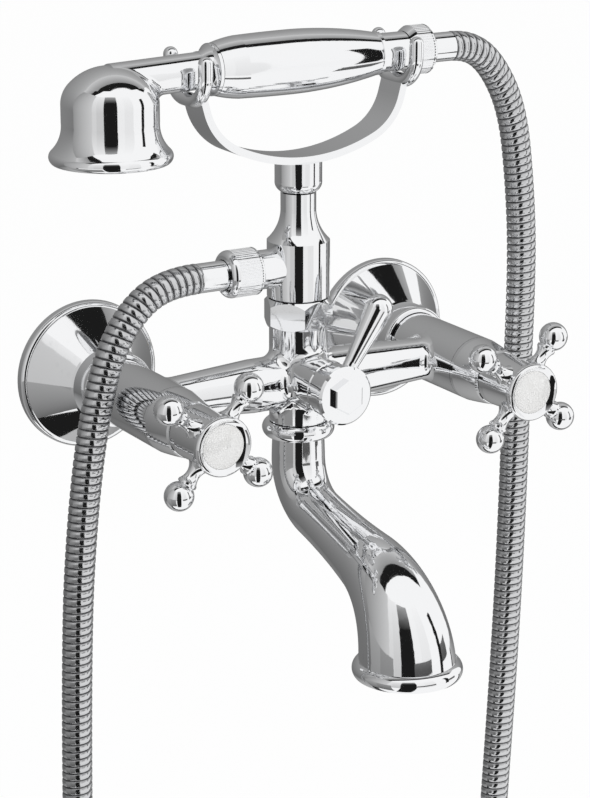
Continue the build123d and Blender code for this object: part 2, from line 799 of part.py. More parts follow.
with BuildPart() as riser_nut:
    corner_radius = riser_nut_flats / 2 / cos(radians(30))
    bevel = corner_radius - riser_nut_flats / 2
    with BuildSketch(Plane(origin=(0, -bar_out, riser_nut_bottom))):
        RegularPolygon(riser_nut_flats / 2, 6, major_radius=False, rotation=10)
    extrude(amount=riser_nut_top - riser_nut_bottom)
    turned(upward(), [
        (0, riser_nut_bottom),
        (riser_nut_flats / 2, riser_nut_bottom),
        (corner_radius, riser_nut_bottom + 0.8 * bevel),
        (corner_radius, riser_nut_top - 1.2 * bevel),
        (riser_nut_flats / 2 - 0.3, riser_nut_top),
        (0, riser_nut_top),
    ], mode=Mode.INTERSECT)
    turned(
        upward(),
        band(0, riser_thread_radius + thread_gap, riser_nut_bottom, column_flange_top + seat_gap),
        mode=Mode.SUBTRACT,
    )
    turned(
        upward(),
        band(0, column_tail_radius + seat_gap, riser_nut_bottom, riser_nut_top),
        mode=Mode.SUBTRACT,
    )
riser_nut.part.label = "riser_nut"
export_step(riser_nut.part, "parts/riser_nut.step")

with BuildPart() as riser_column:
    with BuildSketch(upward()):
        with BuildLine():
            foot = Polyline(
                (0, riser_washer_top),
                (riser_thread_radius - 0.7, riser_washer_top),
                (riser_thread_radius - 0.7, column_flange_top),
                (column_tail_radius, column_flange_top),
                (column_tail_radius, column_bottom),
                (column_radius - 0.6, column_bottom),
                (column_radius, column_bottom + 0.6),
                (column_radius, column_shoulder),
            )
            shoulder = ThreePointArc(
                foot @ 1,
                (column_neck_radius + 2.3, column_shoulder + 4.7),
                (column_neck_radius, column_neck_bottom),
            )
            head = Polyline(
                shoulder @ 1,
                (column_neck_radius, collar_bottom),
                (column_spigot_radius, collar_bottom),
                (column_spigot_radius, column_spigot_top),
                (0, column_spigot_top),
            )
            Line(head @ 1, foot @ 0)
        make_face()
    revolve(axis=Axis(upward().origin, upward().y_dir))
    turned(rightward(outlet_height), [
        (0, 0),
        (stub_radius, 0),
        (stub_radius, -stub_end),
        (stub_thread_radius, -stub_end),
        (stub_thread_radius, -stub_thread_end + 0.5),
        (stub_thread_radius - 0.5, -stub_thread_end),
        (0, -stub_thread_end),
    ])
    turned(upward(), band(0, water_bore, riser_washer_top, outlet_height + water_bore), mode=Mode.SUBTRACT)
    turned(rightward(outlet_height), band(0, hose_bore, -stub_thread_end, 0), mode=Mode.SUBTRACT)
riser_column.part.label = "riser_column"
export_step(riser_column.part, "parts/riser_column.step")

# Cradle: a collar on the column, a bent strap, and a round-wire yoke at each end
neck_slope = neck_drop / (neck_start - bell_x)
neck_height_at_yoke = handset_height - neck_slope * (neck_start - left_prong_x)
yoke_heights = {
    left_prong_x: neck_height_at_yoke - neck_radius - seat_gap - prong_radius,
    right_prong_x: handset_height - tail_radius - seat_gap - prong_radius,
}
grub_height = collar_bottom + 5.0

with BuildPart() as cradle:
    with BuildSketch(Plane(origin=(0, -bar_out, 0), x_dir=(1, 0, 0), z_dir=(0, -1, 0))):
        with BuildLine():
            middle_bend = strap_bend - strap_thickness / 2
            right_bend = strap_right_bend - strap_thickness / 2
            left_bend = strap_left_bend - strap_thickness / 2
            sag = CenterArc(
                (0, strap_bottom + strap_bend), middle_bend, 270 - strap_bend_angle, 2 * strap_bend_angle
            )
            right = JernArc(sag @ 1, sag % 1, right_bend, strap_corner_angle - strap_bend_angle)
            Line(right @ 1, right @ 1 + strap_tail * (right % 1))
            left = JernArc(sag @ 0, -(sag % 0), left_bend, strap_bend_angle - strap_corner_angle)
            Line(left @ 1, left @ 1 + strap_tail * (left % 1))
        trace(line_width=strap_thickness)
    extrude(amount=strap_width / 2, both=True)
    for yoke_x, yoke_height in yoke_heights.items():
        half_spread = prong_spread / 2
        with BuildLine() as yoke_wire:
            FilletPolyline(
                (yoke_x, -bar_out - half_spread, prong_top - prong_radius),
                (yoke_x, -bar_out - half_spread, yoke_height),
                (yoke_x, -bar_out + half_spread, yoke_height),
                (yoke_x, -bar_out + half_spread, prong_top - prong_radius),
                radius=yoke_bend,
            )
        with BuildSketch(Plane(origin=yoke_wire.line @ 0, z_dir=yoke_wire.line % 0)):
            Circle(prong_radius)
        sweep(path=yoke_wire.line)
        with Locations(yoke_wire.line @ 0, yoke_wire.line @ 1):
            Sphere(prong_radius)
    with BuildSketch(upward()):
        with BuildLine():
            under = Line((0, collar_bottom), (collar_radius - 4.0, collar_bottom))
            turn = ThreePointArc(
                under @ 1, (collar_radius - 1.1, collar_bottom + 1.5), (collar_radius, collar_bottom + 5.0)
            )
            wall = Line(turn @ 1, (collar_radius, collar_top))
            top = Line(wall @ 1, (0, collar_top))
            Line(top @ 1, under @ 0)
        make_face()
    revolve(axis=Axis(upward().origin, upward().y_dir))
    turned(
        upward(),
        band(0, column_spigot_radius + running_gap, collar_bottom, column_spigot_top + seat_gap),
        mode=Mode.SUBTRACT,
    )
    with BuildSketch(Plane(origin=(0, -bar_out, grub_height), x_dir=(1, 0, 0), z_dir=(0, 1, 0))):
        Circle(grub_radius + thread_gap)
    extrude(amount=collar_radius + 1, mode=Mode.SUBTRACT)
cradle.part.label = "cradle"
export_step(cradle.part, "parts/cradle.step")

grub_tip = column_spigot_radius + running_gap - bar_out

with BuildPart() as cradle_grub_screw:
    with BuildSketch(Plane(origin=(0, grub_tip, grub_height), x_dir=(1, 0, 0), z_dir=(0, 1, 0))):
        Circle(grub_radius)
    extrude(amount=collar_radius - column_spigot_radius - 0.5)
    with BuildSketch(cradle_grub_screw.faces().sort_by(Axis.Y)[-1]):
        RegularPolygon(1.0, 6)
    extrude(amount=-1.6, mode=Mode.SUBTRACT)
cradle_grub_screw.part.label = "cradle_grub_screw"
export_step(cradle_grub_screw.part, "parts/cradle_grub_screw.step")


def knurl(start, end, height, radius):
    """Cut straight grooves round a hose nut that lies along X."""
    with BuildSketch(Plane(origin=(start, -bar_out, height), x_dir=(0, 1, 0), z_dir=(1, 0, 0))) as grooves:
        with PolarLocations(radius, knurl_teeth):
            Circle(knurl_depth)
    extrude(grooves.sketch, amount=end - start, mode=Mode.SUBTRACT)


def coupling(direction, thread_end):
    """The places along X of a hose coupling's washer, its ferrule's flange and its nut's lip."""
    washer_end = thread_end + hose_washer
    flange_end = washer_end + ferrule_flange
    lip = flange_end + seat_gap
    return [direction * place for place in (thread_end, washer_end, flange_end, lip)]


# Hose outlet: nut, washer and ferrule on the column's stub
outlet_thread, outlet_washer_end, outlet_flange_end, outlet_lip = coupling(-1, stub_thread_end)

with BuildPart() as outlet_hose_nut:
    with BuildSketch(rightward(outlet_height)):
        with BuildLine():
            side_edge = Polyline(
                (stub_thread_radius + thread_gap, -stub_end - seat_gap),
                (outlet_nut_radius - 0.6, -stub_end - seat_gap),
                (outlet_nut_radius, -stub_end - seat_gap - 0.6),
                (outlet_nut_radius, nut_shoulder - outlet_nut_end),
            )
            round_end = ThreePointArc(
                side_edge @ 1,
                (outlet_nut_radius - 0.3 * nut_shoulder_drop, 0.35 * nut_shoulder - outlet_nut_end),
                (outlet_nut_radius - nut_shoulder_drop, -outlet_nut_end),
            )
            inside = Polyline(
                round_end @ 1,
                (ferrule_radius + seat_gap, -outlet_nut_end),
                (ferrule_radius + seat_gap, outlet_lip),
                (stub_thread_radius + thread_gap, outlet_lip),
            )
            Line(inside @ 1, side_edge @ 0)
        make_face()
    revolve(axis=Axis(rightward(outlet_height).origin, rightward(outlet_height).y_dir))
    knurl(nut_shoulder - outlet_nut_end, -stub_end - 1.5, outlet_height, outlet_nut_radius)
outlet_hose_nut.part.label = "outlet_hose_nut"
export_step(outlet_hose_nut.part, "parts/outlet_hose_nut.step")

with BuildPart() as outlet_hose_washer:
    turned(
        rightward(outlet_height),
        band(hose_bore + seat_gap, ferrule_flange_radius + 0.2, outlet_thread, outlet_washer_end),
    )
outlet_hose_washer.part.label = "outlet_hose_washer"
export_step(outlet_hose_washer.part, "parts/outlet_hose_washer.step")

with BuildPart() as outlet_ferrule:
    turned(rightward(outlet_height), [
        (hose_bore, outlet_washer_end),
        (ferrule_flange_radius, outlet_washer_end),
        (ferrule_flange_radius, outlet_flange_end),
        (ferrule_radius, outlet_flange_end),
        (ferrule_radius, 0.4 - outlet_ferrule_end),
        (ferrule_radius - 0.4, -outlet_ferrule_end),
        (hose_bore, -outlet_ferrule_end),
    ])
outlet_ferrule.part.label = "outlet_ferrule"
export_step(outlet_ferrule.part, "parts/outlet_ferrule.step")

# Handset end of the hose
handset_axis = rightward(handset_height)
handset_thread, handset_washer_end, handset_flange_end, handset_lip = coupling(1, tail_thread_end)

with BuildPart() as handset_hose_nut:
    with BuildSketch(handset_axis):
        with BuildLine():
            near = Line(
                (tail_thread_radius + thread_gap, handset_nut_start),
                (handset_nut_radius - nut_shoulder_drop, handset_nut_start),
            )
            round_end = ThreePointArc(
                near @ 1,
                (handset_nut_radius - 0.3 * nut_shoulder_drop, handset_nut_start + 0.65 * nut_shoulder),
                (handset_nut_radius, handset_nut_start + nut_shoulder),
            )
            outside = Polyline(
                round_end @ 1,
                (handset_nut_radius, handset_nut_end - 1.0),
                (handset_nut_radius - 1.0, handset_nut_end),
                (ferrule_radius + seat_gap, handset_nut_end),
                (ferrule_radius + seat_gap, handset_lip),
                (tail_thread_radius + thread_gap, handset_lip),
            )
            Line(outside @ 1, near @ 0)
        make_face()
    revolve(axis=Axis(handset_axis.origin, handset_axis.y_dir))
    knurl(handset_nut_start + nut_shoulder, handset_nut_end - 1.5, handset_height, handset_nut_radius)
handset_hose_nut.part.label = "handset_hose_nut"
export_step(handset_hose_nut.part, "parts/handset_hose_nut.step")

with BuildPart() as handset_hose_washer:
    turned(
        handset_axis,
        band(hose_bore + seat_gap, ferrule_flange_radius + 0.2, handset_thread, handset_washer_end),
    )
handset_hose_washer.part.label = "handset_hose_washer"
export_step(handset_hose_washer.part, "parts/handset_hose_washer.step")

with BuildPart() as handset_ferrule:
    turned(handset_axis, [
        (hose_bore, handset_washer_end),
        (ferrule_flange_radius, handset_washer_end),
        (ferrule_flange_radius, handset_flange_end),
        (ferrule_radius, handset_flange_end),
        (ferrule_radius, handset_ferrule_end - 0.4),
        (ferrule_radius - 0.4, handset_ferrule_end),
        (hose_bore, handset_ferrule_end),
    ])
handset_ferrule.part.label = "handset_ferrule"
export_step(handset_ferrule.part, "parts/handset_ferrule.step")

# Handset: tail, inner tube, grip, and the head with its neck and spray plate
tube_end = tail_ring_end - 1.5

with BuildPart() as handset_tail:
    turned(handset_axis, [
        (tube_radius + thread_gap, grip_end + 0.2),
        (tail_ring_radius - 0.5, grip_end + 0.2),
        (tail_ring_radius, grip_end + 0.7),
        (tail_ring_radius, tail_ring_end - 0.5),
        (tail_radius, tail_ring_end),
        (tail_radius, handset_nut_start - seat_gap),
        (tail_thread_radius, handset_nut_start - seat_gap),
        (tail_thread_radius, tail_thread_end - 0.5),
        (tail_thread_radius - 0.5, tail_thread_end),
        (tube_bore, tail_thread_end),
        (tube_bore, tube_end + 0.1),
        (tube_radius + thread_gap, tube_end + 0.1),
    ])
handset_tail.part.label = "handset_tail"
export_step(handset_tail.part, "parts/handset_tail.step")

tube_start = grip_start - 6.0

with BuildPart() as handset_tube:
    turned(handset_axis, band(tube_bore, tube_radius, tube_start, tube_end))
handset_tube.part.label = "handset_tube"
export_step(handset_tube.part, "parts/handset_tube.step")

with BuildPart() as handset_grip:
    with BuildSketch(handset_axis):
        with BuildLine():
            end_face = Line((grip_wall_bore, grip_start), (grip_start_radius, grip_start))
            shoulder = ThreePointArc(
                end_face @ 1,
                (grip_radius - 1.5, grip_start + 4.3),
                (grip_radius - 0.45, grip_start + 11.0),
            )
            swell = ThreePointArc(
                shoulder @ 1, (grip_radius - 0.12, grip_swell_x - 13.0), (grip_radius, grip_swell_x)
            )
            taper = ThreePointArc(
                swell @ 1, (grip_radius - 1.15, grip_swell_x + 21.5), (grip_end_radius, grip_end)
            )
            far_face = Line(taper @ 1, (grip_wall_bore, grip_end))
            Line(far_face @ 1, end_face @ 0)
        make_face()
    revolve(axis=Axis(handset_axis.origin, handset_axis.y_dir))
handset_grip.part.label = "handset_grip"
export_step(handset_grip.part, "parts/handset_grip.step")


def dome(foot, top, shoulder):
    """Draw a dome's outline from its foot in to its axis: a shoulder arc, then a flatter crown."""
    reach = foot.X - shoulder
    rise = top - foot.Y
    crown_radius = (reach**2 + rise**2 - shoulder**2) / (2 * (rise - shoulder))
    shoulder_angle = degrees(atan2(crown_radius - rise, reach))
    side = JernArc(foot, (0, 1), shoulder, shoulder_angle)
    return JernArc(side @ 1, side % 1, crown_radius, 90 - shoulder_angle)


bell_plane = upward(bell_x)
plate_bottom = bell_bottom + plate_recess
plate_top = plate_bottom + plate_thickness
seal_top = plate_top + 1.6
neck_angle = degrees(atan2(neck_drop, neck_start - bell_x))
neck_plane = aimed((neck_start, -bar_out, handset_height), 180 + neck_angle)
neck_length = hypot(neck_drop, neck_start - bell_x)

with BuildPart() as handset_head:
    with BuildSketch(bell_plane):
        with BuildLine():
            rim_foot = Line((0, bell_bottom), (bell_rim_radius - 1.1, bell_bottom))
            rim = ThreePointArc(
                rim_foot @ 1,
                (bell_rim_radius, bell_rim_height),
                (bell_rim_radius - 1.1, bell_rim_height + 2.8),
            )
            skirt = ThreePointArc(
                rim @ 1, (bell_radius + 1.1, bell_rim_height + 7.6), (bell_radius, bell_rim_height + 14.5)
            )
            side_wall = Line(skirt @ 1, (bell_radius, bell_dome_height))
            crown = dome(side_wall @ 1, bell_top, bell_shoulder)
            Line(crown @ 1, rim_foot @ 0)
        make_face()
    revolve(axis=Axis(bell_plane.origin, bell_plane.y_dir))
    turned(neck_plane, band(0, neck_radius, -1.0, neck_length))
    fillet(handset_head.edges().filter_by(GeomType.BSPLINE), radius=neck_fillet)
    with BuildSketch(handset_axis):
        with BuildLine():
            inner_side = Line((0, neck_start - 1.0), (neck_radius + 0.3, neck_start - 1.0))
            flare = ThreePointArc(
                inner_side @ 1,
                (neck_radius + 0.9, neck_start + 2.4),
                (flare_radius - 0.4, grip_start - 0.2 - flare_band),
            )
            edge = Polyline(
                flare @ 1,
                (flare_radius, grip_start - 0.2 - flare_band),
                (flare_radius, grip_start - 0.2),
                (0, grip_start - 0.2),
            )
            Line(edge @ 1, inner_side @ 0)
        make_face()
    revolve(axis=Axis(handset_axis.origin, handset_axis.y_dir))
    with BuildSketch(bell_plane):
        with BuildLine():
            pocket = Polyline(
                (0, bell_bottom),
                (plate_radius + thread_gap, bell_bottom),
                (plate_radius + thread_gap, seal_top),
                (plate_radius - 1.6, seal_top),
                (plate_radius - 1.6, seal_top + 1.6),
            )
            skirt_inside = ThreePointArc(
                pocket @ 1,
                (bell_radius - bell_wall + 0.6, bell_rim_height + 9.4),
                (bell_radius - bell_wall, bell_rim_height + 15.0),
            )
            side_inside = Line(skirt_inside @ 1, (bell_radius - bell_wall, bell_dome_height))
            crown_inside = dome(side_inside @ 1, bell_top - bell_wall, bell_shoulder - bell_wall)
            Line(crown_inside @ 1, pocket @ 0)
        make_face()
    revolve(axis=Axis(bell_plane.origin, bell_plane.y_dir), mode=Mode.SUBTRACT)
    turned(neck_plane, band(0, neck_bore, 0, neck_length - bell_radius + 4.0), mode=Mode.SUBTRACT)
    turned(
        handset_axis,
        band(0, neck_bore + seat_gap, neck_start - 1.0, grip_start),
        mode=Mode.SUBTRACT,
    )
    turned(handset_axis, band(0, tube_radius + thread_gap, tube_start - 0.1, grip_start), mode=Mode.SUBTRACT)
    turned(bell_plane, band(0, 2 * screw_radius, seal_top, bell_top - 1.0))
    turned(
        bell_plane,
        band(0, screw_radius + thread_gap, seal_top, plate_top + screw_length + 1.0),
        mode=Mode.SUBTRACT,
    )
handset_head.part.label = "handset_head"
export_step(handset_head.part, "parts/handset_head.step")

with BuildPart() as spray_seal:
    turned(bell_plane, band(plate_radius - 2.4, plate_radius, plate_top, seal_top))
spray_seal.part.label = "spray_seal"
export_step(spray_seal.part, "parts/spray_seal.step")

with BuildPart() as spray_plate:
    with BuildSketch(Plane(origin=(bell_x, -bar_out, plate_bottom))):
        Circle(plate_radius)
        Circle(screw_radius + 0.2, mode=Mode.SUBTRACT)
        for ring_radius, count in nozzle_rings:
            with PolarLocations(ring_radius, count):
                Circle(nozzle_radius, mode=Mode.SUBTRACT)
    extrude(amount=plate_thickness)
spray_plate.part.label = "spray_plate"
export_step(spray_plate.part, "parts/spray_plate.step")

with BuildPart() as spray_plate_screw:
    turned(bell_plane, [
        (0, plate_bottom - 0.8),
        (screw_head_radius - 0.9, plate_bottom - 0.8),
        (screw_head_radius - 0.5, plate_bottom),
        (screw_radius, plate_bottom),
        (screw_radius, plate_top + screw_length),
        (0, plate_top + screw_length),
    ])
    with BuildSketch(Plane(origin=(bell_x, -bar_out, plate_bottom - 0.8))):
        Rectangle(2 * screw_head_radius, 0.8)
    extrude(amount=0.5, mode=Mode.SUBTRACT)
spray_plate_screw.part.label = "spray_plate_screw"
export_step(spray_plate_screw.part, "parts/spray_plate_screw.step")

# Spout: a spigot in the body, and a swan neck that widens to a beaded mouth
spout_top = boss_bottom + 0.2
spigot_top = boss_bottom - spout_socket_depth + seat_gap
spout_ring_groove = (spout_top + spigot_top) / 2

with BuildPart() as spout:
    with BuildLine(Plane.YZ) as spout_line:
        drop = Line((-bar_out, -spout_top), (-bar_out, -spout_drop))
        first_bend = JernArc(drop @ 1, drop % 1, spout_first_bend, -spout_slope)
        run = Line(first_bend @ 1, first_bend @ 1 + spout_run * (first_bend % 1))
        last_bend = JernArc(run @ 1, run % 1, spout_second_bend, spout_slope)
        Line(last_bend @ 1, ((last_bend @ 1).Y, -lip_bottom))
    for wall, mode in ((0, Mode.ADD), (spout_wall, Mode.SUBTRACT)):
        sections = []
        for step, radius in enumerate(spout_radii):
            place = step / (len(spout_radii) - 1)
            with BuildSketch(
                Plane(
                    origin=spout_line.line @ place,
                    x_dir=(1, 0, 0),
                    z_dir=spout_line.line % place,
                ),
                mode=Mode.PRIVATE,
            ) as section:
                Circle(radius - wall)
            sections.append(section.sketch)
        sweep(sections, path=spout_line.line, multisection=True, mode=mode)
    mouth_y = (spout_line.line @ 1).Y
    mouth_plane = Plane(origin=(0, mouth_y, 0), x_dir=(1, 0, 0), z_dir=(0, -1, 0))
    with BuildSketch(mouth_plane):
        with BuildLine():
            end_radius = spout_radii[-1]
            flat = Line((end_radius - spout_wall, -lip_bottom), (lip_radius - 0.8, -lip_bottom))
            swell = ThreePointArc(
                flat @ 1,
                (lip_radius, 0.5 * lip_height - lip_bottom),
                (end_radius - 0.6, lip_height - lip_bottom),
            )
            Polyline(swell @ 1, (end_radius - spout_wall, lip_height - lip_bottom), flat @ 0)
        make_face()
    revolve(axis=Axis(mouth_plane.origin, mouth_plane.y_dir))
    turned(upward(), [
        (water_bore, -spout_top - 2.0),
        (spout_neck_radius - spout_wall + 0.5, -spout_top - 2.0),
        (spout_neck_radius, -spout_top),
        (spout_socket_radius - running_gap, -spout_top),
        (spout_socket_radius - running_gap, -spout_ring_groove - 1.1),
        (spout_socket_radius - 1.6, -spout_ring_groove - 1.1),
        (spout_socket_radius - 1.6, -spout_ring_groove + 1.1),
        (spout_socket_radius - running_gap, -spout_ring_groove + 1.1),
        (spout_socket_radius - running_gap, -spigot_top),
        (water_bore, -spigot_top),
    ])
spout.part.label = "spout"
export_step(spout.part, "parts/spout.step")

with BuildPart() as spout_o_ring:
    with BuildSketch(upward()):
        with Locations((spout_socket_radius - 0.9, -spout_ring_groove)):
            Circle(0.65)
    revolve(axis=Axis(upward().origin, upward().y_dir))
spout_o_ring.part.label = "spout_o_ring"
export_step(spout_o_ring.part, "parts/spout_o_ring.step")

with BuildPart() as spout_ring:
    with BuildSketch(upward()):
        with BuildLine():
            ring_bore = spout_neck_radius + spout_ring_clearance
            bore = Line((ring_bore, -spout_ring_bottom), (ring_bore, -spout_ring_top))
            top = Line(bore @ 1, (spout_ring_radius - 1.6, -spout_ring_top))
            barrel = ThreePointArc(
                top @ 1,
                (spout_ring_radius, -(spout_ring_top + spout_ring_bottom) / 2),
                (spout_ring_radius - 1.6, -spout_ring_bottom),
            )
            Line(barrel @ 1, bore @ 0)
        make_face()
    revolve(axis=Axis(upward().origin, upward().y_dir))
spout_ring.part.label = "spout_ring"
export_step(spout_ring.part, "parts/spout_ring.step")

# Shower hose: from the outlet down in a deep loop and up to the handset, as (x, z) points
hose_route = [
    (-outlet_ferrule_end, outlet_height),
    (-72.0, outlet_height),
    (-91.3, 38.1),
    (-101.4, 16.3),
    (-107.0, -23.3),
    (-109.8, -98.0),
    (-111.5, -234.0),
    (-108.0, -362.0),
    (-95.0, -463.0),
    (-58.0, -525.0),
    (-3.0, -546.0),
    (53.0, -525.0),
    (88.0, -462.0),
    (101.0, -362.0),
    (110.5, -232.0),
    (116.5, -110.0),
    (122.5, -12.0),
    (133.6, 63.7),
    (132.2, 103.7),
    (122.1, 125.5),
    (102.8, handset_height),
    (handset_ferrule_end, handset_height),
]
hose_points = [Vector(x, -bar_out, z) for x, z in hose_route]


def bend_radii(points):
    """Each corner's arc takes 0.45 of the shorter of its two runs."""
    radii = []
    for before, corner, after in zip(points, points[1:], points[2:]):
        run_in = corner - before
        run_out = after - corner
        turn = radians(run_in.get_angle(run_out))
        radii.append(0.45 * min(run_in.length, run_out.length) / tan(turn / 2))
    return radii


hose_radii = bend_radii(hose_points)
print("hose bend radii, mm:", [round(radius, 1) for radius in hose_radii])

with BuildPart() as shower_hose:
    with BuildLine() as hose_line:
        FilletPolyline(*hose_points, radius=hose_radii)
    hose_wire = hose_line.wire()
    hose_length = hose_wire.length
    valley_radius = hose_radius - rib_depth
    rib_pitch = (hose_length - 2 * hose_plain_end) / hose_ribs
    rings = [(0, valley_radius)]
    for rib in range(hose_ribs):
        foot = hose_plain_end + rib * rib_pitch
        rings += [
            (foot, valley_radius),
            (foot + rib_slope * rib_pitch, hose_radius),
            (foot + (rib_slope + rib_land) * rib_pitch, hose_radius),
            (foot + (2 * rib_slope + rib_land) * rib_pitch, valley_radius),
        ]
    rings.append((hose_length, valley_radius))
    for along, radius in rings:
        place = Plane(
            origin=hose_wire @ (along / hose_length),
            x_dir=(0, 1, 0),
            z_dir=hose_wire % (along / hose_length),
        )
        with BuildSketch(place):
            Circle(radius)
    loft(ruled=True)
    with BuildSketch(Plane(origin=hose_wire @ 0, z_dir=hose_wire % 0)):
        Circle(hose_bore)
    sweep(path=hose_wire, mode=Mode.SUBTRACT)
rib_fill = rib_land + rib_slope
valley_section = pi * (valley_radius**2 - hose_bore**2)
rib_section = pi * (hose_radius**2 - valley_radius**2)
ribbed_volume = valley_section * hose_length + rib_section * rib_fill * rib_pitch * hose_ribs
print("hose length, mm:", round(hose_length, 1), "rib pitch:", round(rib_pitch, 2))
print("hose volume over its sections times length:", round(shower_hose.part.volume / ribbed_volume, 4))
shower_hose.part.label = "shower_hose"
export_step(shower_hose.part, "parts/shower_hose.step")
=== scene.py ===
# %% [markdown]
# # A bath mixer in chromed brass
#
# The object hangs on a wall: two crosshead valves on a bar, a swan spout under it, a riser with a cradle
# over it, a handset lying in the cradle and a metal hose that loops down and back up to the handset.
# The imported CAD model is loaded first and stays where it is. Everything here adds looks around it, in
# metres, in the same frame: +X is to the right, +Y leads into the wall and +Z is up.

# %% Load the frame
import json
from bisect import bisect_right
from math import cos, pi, radians, sin

import bmesh
import bpy
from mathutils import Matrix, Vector


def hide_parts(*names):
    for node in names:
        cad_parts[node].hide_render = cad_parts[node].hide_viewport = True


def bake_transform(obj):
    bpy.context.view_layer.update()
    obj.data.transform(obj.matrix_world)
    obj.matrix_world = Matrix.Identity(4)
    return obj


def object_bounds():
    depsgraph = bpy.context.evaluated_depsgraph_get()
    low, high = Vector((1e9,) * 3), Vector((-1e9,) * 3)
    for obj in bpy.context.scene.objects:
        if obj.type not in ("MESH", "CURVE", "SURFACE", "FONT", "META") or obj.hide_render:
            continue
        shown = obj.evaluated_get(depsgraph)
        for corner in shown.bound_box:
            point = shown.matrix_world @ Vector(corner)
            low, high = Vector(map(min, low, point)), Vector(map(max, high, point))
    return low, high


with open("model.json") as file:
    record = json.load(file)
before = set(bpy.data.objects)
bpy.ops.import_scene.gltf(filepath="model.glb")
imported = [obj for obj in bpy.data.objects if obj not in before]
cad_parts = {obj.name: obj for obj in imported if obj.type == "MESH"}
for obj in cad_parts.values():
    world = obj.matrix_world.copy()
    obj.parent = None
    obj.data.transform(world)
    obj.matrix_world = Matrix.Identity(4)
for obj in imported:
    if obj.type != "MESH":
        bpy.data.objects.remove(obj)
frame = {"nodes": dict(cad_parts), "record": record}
cad_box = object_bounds()
nodes = frame["nodes"]

# %% [markdown]
# The camera comes before the pieces. A long lens from some way off keeps the bar's ends from spreading,
# as in a catalogue picture. Its place and aim are those that make the two wall roses, the handles and the
# spout's mouth fall where the picture has them.

# %% Camera
camera_data = bpy.data.cameras.new("catalogue_camera")
camera_data.lens = 120.0
camera_data.sensor_width = 36.0
camera = bpy.data.objects.new("catalogue_camera", camera_data)
camera.location = (-0.56123, -1.00622, 0.32253)
camera.rotation_euler = (radians(73.263), 0.0, radians(-30.494))
bpy.context.scene.collection.objects.link(camera)
bpy.context.scene.camera = camera
bpy.context.scene.view_settings.view_transform = "Standard"
print("camera at", tuple(camera.location))

# %% [markdown]
# ## The hose
#
# A shower hose of this kind is a rubber tube inside a jacket of metal strip, wound round it and hooked
# onto itself, so it bends easily but never kinks. It leaves the outlet and the handset level, turns down
# in an easy curve and hangs in one deep loop. The route is a short list of control points in the plane
# of the riser, and a NURBS curve of the third order draws one smooth line along them.

# %% The hose's route
hose_plane = -0.056
outlet_height = 0.0506
handset_height = 0.138
hose_points = [
    (-0.0492, outlet_height),
    (-0.0610, outlet_height),
    (-0.0765, 0.0440),
    (-0.0900, 0.0260),
    (-0.0985, -0.0030),
    (-0.1048, -0.0450),
    (-0.1090, -0.0980),
    (-0.1115, -0.2340),
    (-0.1080, -0.3620),
    (-0.0950, -0.4630),
    (-0.0580, -0.5250),
    (-0.0030, -0.5460),
    (0.0530, -0.5250),
    (0.0880, -0.4620),
    (0.1010, -0.3620),
    (0.1085, -0.2220),
    (0.1124, -0.1500),
    (0.1146, -0.0850),
    (0.1156, -0.0200),
    (0.1168, 0.0400),
    (0.1142, 0.0750),
    (0.1095, 0.1070),
    (0.0985, 0.1280),
    (0.0855, handset_height),
    (0.0760, handset_height),
]


def hose_centre_line(points):
    """The NURBS curve through the route's control points, as points read back from Blender."""
    data = bpy.data.curves.new("hose_route", "CURVE")
    data.dimensions = "3D"
    data.resolution_u = 16
    spline = data.splines.new("NURBS")
    spline.points.add(len(points) - 1)
    for point, (x, z) in zip(spline.points, points):
        point.co = (x, hose_plane, z, 1.0)
    spline.order_u = 3
    spline.use_endpoint_u = True
    route = bpy.data.objects.new("hose_route", data)
    bpy.context.scene.collection.objects.link(route)
    bpy.context.view_layer.update()
    line = bpy.data.meshes.new_from_object(route)
    centres = [vertex.co.copy() for vertex in line.vertices]
    bpy.data.objects.remove(route)
    bpy.data.meshes.remove(line)
    return centres


hose_path = hose_centre_line(hose_points)
hose_steps = [(b - a).length for a, b in zip(hose_path, hose_path[1:])]
hose_length = sum(hose_steps)
print("hose:", len(hose_path), "points,", round(hose_length, 4), "m")

# %% [markdown]
# The jacket is the finest shape on the object: about 430 turns of strip, each a smooth raised band with
# a narrow dark groove beside it. A bump map would leave the outline straight, so the turns are real
# geometry. One profile of a single turn is carried along the centre line, and every point round the
# section is set forward by its share of the pitch, which turns the rings into one continuous helix.

# %% Places along the centre line
hose_marks = [0.0]
for step in hose_steps:
    hose_marks.append(hose_marks[-1] + step)


def place_along(distance):
    """Centre and direction at a distance from the outlet, on the polyline read from the spline."""
    inside = min(max(distance, 0.0), hose_length)
    number = min(bisect_right(hose_marks, inside) - 1, len(hose_steps) - 1)
    start, end = hose_path[number], hose_path[number + 1]
    before = hose_path[max(number - 1, 0)]
    after = hose_path[min(number + 2, len(hose_path) - 1)]
    share = (inside - hose_marks[number]) / hose_steps[number]
    leaving = (end - before).normalized()
    arriving = (after - start).normalized()
    return start.lerp(end, share), leaving.lerp(arriving, share).normalized()


# %% Wind the metal jacket
strip_pitch = 0.0033
strip_sides = 24
strip_profile = [
    (0.00, 0.00590, 1.0),
    (0.06, 0.00628, 0.6),
    (0.14, 0.00645, 0.1),
    (0.45, 0.00650, 0.0),
    (0.75, 0.00645, 0.1),
    (0.86, 0.00628, 0.5),
    (0.92, 0.00590, 1.0),
]


